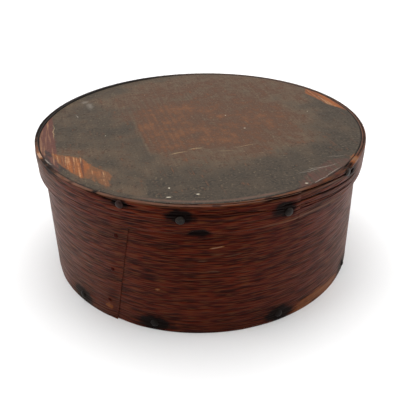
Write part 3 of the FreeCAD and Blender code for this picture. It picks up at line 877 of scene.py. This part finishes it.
old_finish = finished_pine("pine, old dark finish")
dry_pine = bare_pine("pine, bare and browned with age")
board_tree = round_board_tree()
board_mesh = round_board("lid board", board_low, board_high, 0.12 * MM, 3.0, old_finish, dry_pine)
places = np.empty(len(board_mesh.vertices) * 3, np.float32)
board_mesh.vertices.foreach_get("co", places)
x, y, z = places.reshape(-1, 3).T.astype(float) / MM
radius = np.hypot(x, y)
angle = np.degrees(np.arctan2(y, x)) % FULL_TURN
across = x * math.cos(BOARD_GRAIN) + y * math.sin(BOARD_GRAIN)
along = y * math.cos(BOARD_GRAIN) - x * math.sin(BOARD_GRAIN)
cupped = BOARD_DIP * smooth((radius - 50) / 70) * np.exp(-(((angle - FAR_SIDE) / 50) ** 4))
sunk_height = z - cupped * (z - board_low.z / MM) / (board_high.z / MM - board_low.z / MM)
sunk = np.stack([x, y, sunk_height], -1) * MM
board_mesh.vertices.foreach_set("co", sunk.astype(np.float32).ravel())
beside_crack = smooth((EDGE_CRACK - across) / 2.5)
past_joint = smooth((across - WORN_FROM) / 4)
round_edge = hills(5, angle * radius * math.pi / 180, radius, 9, 1.8)
grimy = smooth((angle - GRIMY_BETWEEN[0]) / 10) * smooth((GRIMY_BETWEEN[1] - angle) / 14)
dusty = smooth((angle - DUSTY_BETWEEN[0]) / 10) * smooth((DUSTY_BETWEEN[1] - angle) / 14)
# On the far side the board's edge is darkened: dirt, and painted shade of the gap by the rim.
board_far_gap_shade = np.exp(-(((angle - FAR_SIDE) / 38) ** 4))
board_marks = {
    "handled": strongest(
        oval(across, along, *HANDLED_MOST) * past_joint,
        0.72 * oval(across, along, *HANDLED_FAR),
        0.22 * oval(across, along, *HANDLED_LEFT),
        0.35 * crescent(radius, angle, *HANDLED_BITE),
    ),
    "saw": (0.5 + 0.5 * np.sin(across * 2 * math.pi / SAW_PITCH)) * oval(across, along, *SAWN),
    "bared": strongest(
        0.86 * crescent(radius, angle, *WORST_KNOCK),
        0.52 * crescent(radius, angle, *BESIDE_KNOCK),
        crescent(radius, angle, *FAR_KNOCK),
        crescent(radius, angle, *SMALL_KNOCK),
    ),
    "smeared": strongest(beside_crack, 0.6 * crescent(radius, angle, *SMEARED_BITE)),
    "dusty": 0.8 * smooth(1.6 - np.abs(radius - DUSTY_RADIUS) / 1.2) * dusty,
    "edge": strongest(
        0.6 * smooth((radius - 118) / 2),
        1.1 * smooth((radius - 119) / 1.5) * board_far_gap_shade,
        (0.7 + 0.55 * round_edge) * smooth((radius - GRIMY_FROM) / 3) * grimy,
    ),
}
for mark, amount in board_marks.items():
    marked(board_mesh, mark, amount)
lid_board = finished("lid_board", board_mesh)
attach(lid_board, "lid")
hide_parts("lid_disc")


# ---------------------------- the bottom board
# A thicker round board of the same pine, sawn round and planed but never finished. It stands
# inside the strip, flush with its foot, and ten iron nails through the strip hold it.

bottom_mesh = round_board("bottom board", bottom_low, bottom_high, 0.2 * MM, 8.0, dry_pine, dry_pine)
box_bottom = finished("box_bottom", bottom_mesh)
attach(box_bottom, "box")
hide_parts("bottom_disc")


# ---------------------------- the nails
# Iron nails with small hammered heads: five through the rim into the lid's board, ten through the
# box's side into its bottom board. Those in the laps go right through, and their points are bent
# down flat inside.

NAIL_SIZES = ("Head Radius", "Head Height", "Shank Width", "Shank Length", "Clinch", "Dent")
HEAD_SINK = 0.15 * MM  # how far a head is driven into the wood
NAIL_TAPER = 0.35  # of a shank's root is left at its point
CLINCH_THICKNESS = 0.45 * MM  # of a point hammered flat inside
DENT_SPACING = 1.4 * MM  # of the hammer's marks on a head


def nail_tree():
    """Geometry nodes for nails: a dented dome and a square shank at each point, bent over or not."""
    sizes = dict.fromkeys(NAIL_SIZES, "Float")
    tree, given = new_tree("hammered nails", Places="Geometry", **sizes, Seed="Int", Iron="Material")
    places, head_radius, head_height, width, length, clinch, dent, seed, iron = given

    ball = add(tree, "GeometryNodeMeshUVSphere", {"Segments": 16, "Rings": 12, "Radius": 1.0})
    spread = add(tree, "ShaderNodeCombineXYZ", {"X": head_radius, "Y": head_radius, "Z": head_height})
    dome = add(tree, "GeometryNodeTransform", {"Geometry": ball, "Scale": spread})
    place = add(tree, "GeometryNodeInputPosition")
    apart = add(tree, "ShaderNodeSeparateXYZ", {"Vector": place}).outputs
    above = add(tree, "ShaderNodeMath", {0: apart["Z"], 1: 0.0}, operation="MAXIMUM")
    flat = add(tree, "ShaderNodeCombineXYZ", {"X": apart["X"], "Y": apart["Y"], "Z": above})
    head = add(tree, "GeometryNodeSetPosition", {"Geometry": dome, "Position": flat})

    corner = add(tree, "ShaderNodeMath", {0: width, 1: math.sqrt(0.5)}, operation="MULTIPLY")
    point = add(tree, "ShaderNodeMath", {0: corner, 1: NAIL_TAPER}, operation="MULTIPLY")
    taper = {"Vertices": 4, "Radius Top": point, "Radius Bottom": corner, "Depth": length}
    square = add(tree, "GeometryNodeMeshCone", taper)
    inward = (math.pi, 0, math.pi / 4)
    shank = add(tree, "GeometryNodeTransform", {"Geometry": square, "Rotation": inward})

    flattened = add(tree, "ShaderNodeCombineXYZ", {"X": clinch, "Y": width, "Z": CLINCH_THICKNESS})
    bar = add(tree, "GeometryNodeMeshCube", {"Size": flattened})
    reach = add(tree, "ShaderNodeMath", {0: length, 1: -1.0}, operation="MULTIPLY")
    beside = add(tree, "ShaderNodeMath", {0: clinch, 1: 0.5}, operation="MULTIPLY")
    bend = add(tree, "ShaderNodeCombineXYZ", {"X": beside, "Z": reach})
    bent = add(tree, "GeometryNodeTransform", {"Geometry": bar, "Translation": bend})
    is_bent = add(tree, "FunctionNodeCompare", {"A": clinch, "B": 0.1 * MM}, operation="GREATER_THAN")
    clinched = add(tree, "GeometryNodeSwitch", {"Switch": is_bent, "True": bent})

    nail = add(tree, "GeometryNodeJoinGeometry")
    for part in (clinched, shank, head):
        tree.links.new(part.outputs[0], nail.inputs[0])
    facing = add(tree, "GeometryNodeInputNamedAttribute", {"Name": "facing"}, data_type="FLOAT_VECTOR")
    turned = add(tree, "FunctionNodeEulerToRotation", {"Euler": facing})
    at_places = {"Points": places, "Instance": nail, "Rotation": turned}
    driven = add(tree, "GeometryNodeInstanceOnPoints", at_places)
    real = add(tree, "GeometryNodeRealizeInstances", {"Geometry": driven})
    blows = {"Vector": place, "W": seed, "Scale": 1 / DENT_SPACING, "Detail": 1.0}
    dents = add(tree, "ShaderNodeTexNoise", blows, noise_dimensions="4D").outputs["Color"]
    centred = add(tree, "ShaderNodeVectorMath", {0: dents, 1: (0.5, 0.5, 0.5)}, operation="SUBTRACT")
    shift = add(tree, "ShaderNodeVectorMath", {0: centred, "Scale": dent}, operation="SCALE")
    dented = add(tree, "GeometryNodeSetPosition", {"Geometry": real, "Offset": shift})
    blackened = add(tree, "GeometryNodeSetMaterial", {"Geometry": dented, "Material": iron})
    add(tree, "NodeGroupOutput", {"Made": blackened})
    return tree


BLACK_IRON = "1b1512"
STAIN_ON_IRON = "2a120d"
STAINED_LEFT_OF = -30 * MM  # the rim's nails left of this are still covered by its stain


def rusted_iron(name, rubbed, rust, in_dents=BLACK_IRON, metallic=0.7, specular=0.5, part_stained=False):
    """Forged iron gone black with age: rubbed paler on its bumps, rusted brown in patches, and dull.

    Under rust, soot or stain it no longer reflects as metal does.
    """
    material, tree = new_material(name)
    place = add(tree, "ShaderNodeTexCoord").outputs["Object"]
    scale = streaks(tree, place, 1.1, 1.1, 1.1, detail=4.0)
    patch = streaks(tree, place, 3.5, 3.5, 3.5)
    metal = coated(
        tree,
        colour(in_dents),
        (rubbed, [(scale, 1.0)], 0.45, 0.68, 0.9),
        (rust, [(patch, 1.0), (scale, 0.3)], 0.6, 0.8, 0.7),
    )
    if part_stained:
        leftward = [(add(tree, "ShaderNodeSeparateXYZ", {"Vector": place}).outputs["X"], -1)]
        stain = (STAIN_ON_IRON, leftward, -STAINED_LEFT_OF, 2 * MM - STAINED_LEFT_OF, 0.85)
        metal = coated(tree, metal, stain)
    dullness = ([(scale, 1.0)], 0.3, 0.7, 0.4, 0.62)
    shine = {"Metallic": metallic, "Specular IOR Level": specular}
    finish_material(tree, metal, dullness, [(scale, 1.0)], 0.15 * MM, **shine)
    return material


def driven_nails(name, kind, plan, body, **inputs):
    """All the nails of one kind, each standing where the frame has its own."""
    angles, heights = zip(*nail_places(kind))
    outside = [plan.outer_face(plan.on_top(angle)) - HEAD_SINK for angle in angles]
    heads = [
        (radius * math.cos(math.radians(angle)), radius * math.sin(math.radians(angle)), height)
        for radius, angle, height in zip(outside, angles, heights)
    ]
    points = bpy.data.meshes.new(name)
    points.from_pydata(heads, [], [])
    facing = points.attributes.new("facing", "FLOAT_VECTOR", "POINT")
    for place, angle in zip(facing.data, angles):
        place.vector = (0, math.pi / 2, math.radians(angle))
    nails = finished(name, made_by(hammered, name, points, **inputs))
    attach(nails, body)
    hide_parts(*[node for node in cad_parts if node.startswith(kind)])


hammered = nail_tree()
forged_iron = rusted_iron("forged iron, rusted black", rubbed="2f2823", rust="37200f", part_stained=True)
damp_iron = rusted_iron("forged iron, blackened by damp", "15100e", "1a0f0b", metallic=0.0, specular=0.12)
stained_over = rusted_iron(
    "iron under old red stain", "451409", "4c1a0c", in_dents="33100a", metallic=0.0, specular=0.04
)
BOARD_NAIL = (2.75, 1.25, 2.1, 22, 0, 0.5)  # the six sizes of the tree, in mm and in its order
LAP_NAIL = (2.85, 1.45, 1.8, 4.6, 5, 0.5)
TACK = (1.6, 0.6, 1.2, 3.8, 5, 0.25)
for name, kind, plan, body, iron, seed, sizes in (
    ("lid_board_nails", "lid_disc_nail", rim_plan, "lid", forged_iron, 2, BOARD_NAIL),
    ("bottom_board_nails", "bottom_nail", box_plan, "box", damp_iron, 5, BOARD_NAIL),
    ("lid_lap_nails", "lid_lap_nail", rim_plan, "lid", forged_iron, 7, LAP_NAIL),
    ("box_lap_tacks", "body_lap_tack", box_plan, "box", stained_over, 9, TACK),
):
    in_metres = {label: size * MM for label, size in zip(NAIL_SIZES, sizes)}
    driven_nails(name, kind, plan, body, Iron=iron, Seed=seed, **in_metres)


# ---------------------------- floor, light and camera
# A plain pale floor that fades into the white behind it, soft light from both sides, from above
# and from behind, and the camera a little above.

FLOOR_REACH = 4
GLOW_FROM = 0.5  # metres away, from which the floor brightens to the white behind it
GLOW_TO = 1.8
# the floor's own glow near the box: painted light that lifts the box's shadow on the floor
NEAR_GLOW = 0.08
FAR_GLOW = 0.9
FRONT_SKY = 0.1  # the sky's strength in front of the box, and behind it
BACK_SKY = 0.55
LIT_HEIGHT = 0.05  # at which the lights are aimed
CAMERA_DISTANCE = 0.4561
CAMERA_RISE = math.radians(28.67)
CAMERA_ROLL = -0.019
CAMERA_SHIFT = (-0.0016, -0.047)
AIM_HEIGHT = 0.0511
LENS = 50.54
SENSOR_WIDTH = 36

corners = [(x * FLOOR_REACH, y * FLOOR_REACH, 0) for x, y in ((-1, -1), (1, -1), (1, 1), (-1, 1))]
floor_mesh = bpy.data.meshes.new("floor")
floor_mesh.from_pydata(corners, [], [(0, 1, 2, 3)])
floor = in_scene("floor", floor_mesh)
floor_material, floor_tree = new_material("pale paper floor")
spot_on_floor = add(floor_tree, "ShaderNodeTexCoord").outputs["Object"]
away = add(floor_tree, "ShaderNodeVectorMath", {0: spot_on_floor}, operation="LENGTH").outputs["Value"]
fade = {"Value": away, 1: GLOW_FROM, 2: GLOW_TO, 3: NEAR_GLOW, 4: FAR_GLOW}
glow = add(floor_tree, "ShaderNodeMapRange", fade, interpolation_type="SMOOTHSTEP")
paper = {"Base Color": colour("f4f4f4"), "Roughness": 0.9}
glowing = {"Emission Color": colour("ffffff"), "Emission Strength": glow}
floor_shader = add(floor_tree, "ShaderNodeBsdfPrincipled", {**paper, **glowing})
add(floor_tree, "ShaderNodeOutputMaterial", {"Surface": floor_shader})
floor_mesh.materials.append(floor_material)

world = bpy.data.worlds.new("soft studio")
bpy.context.scene.world = world
world.use_nodes = True
sky_tree = world.node_tree
sky_tree.nodes.clear()
towards = add(sky_tree, "ShaderNodeTexCoord").outputs["Generated"]
backward = add(sky_tree, "ShaderNodeSeparateXYZ", {"Vector": towards}).outputs["Y"]
fade = {"Value": backward, 1: -0.6, 2: 0.5, 3: FRONT_SKY, 4: BACK_SKY}
strength = add(sky_tree, "ShaderNodeMapRange", fade, interpolation_type="SMOOTHSTEP")
seen = add(sky_tree, "ShaderNodeLightPath").outputs["Is Camera Ray"]
strength = add(sky_tree, "ShaderNodeMix", {0: seen, 2: strength, 3: 1.0})
sky = add(sky_tree, "ShaderNodeBackground", {"Color": colour("ffffff"), "Strength": strength})
add(sky_tree, "ShaderNodeOutputWorld", {"Surface": sky})


def soft_light(name, place, size, power):
    light = bpy.data.lights.new(name, "AREA")
    light.size = size
    light.energy = power
    lamp = in_scene(name, light)
    lamp.location = place
    towards_box = Vector((0, 0, LIT_HEIGHT)) - Vector(place)
    lamp.rotation_euler = towards_box.to_track_quat("-Z", "Y").to_euler()


soft_light("left window", (-1.2, -0.2, 0.7), size=0.9, power=6)
soft_light("right window", (1.2, -0.1, 0.7), size=0.9, power=5)
soft_light("overhead window", (0, 0.2, 1.5), size=1.6, power=26)

camera_data = bpy.data.cameras.new("camera")
camera_data.sensor_width = SENSOR_WIDTH
camera_data.lens = LENS
camera_data.shift_x, camera_data.shift_y = CAMERA_SHIFT
camera = in_scene("camera", camera_data)
camera.location = (
    0,
    -CAMERA_DISTANCE * math.cos(CAMERA_RISE),
    AIM_HEIGHT + CAMERA_DISTANCE * math.sin(CAMERA_RISE),
)
turned = Matrix.Rotation(math.pi / 2 - CAMERA_RISE, 4, "X") @ Matrix.Rotation(CAMERA_ROLL, 4, "Z")
camera.rotation_euler = turned.to_euler()
bpy.context.scene.camera = camera
bpy.context.scene.view_settings.view_transform = "Standard"
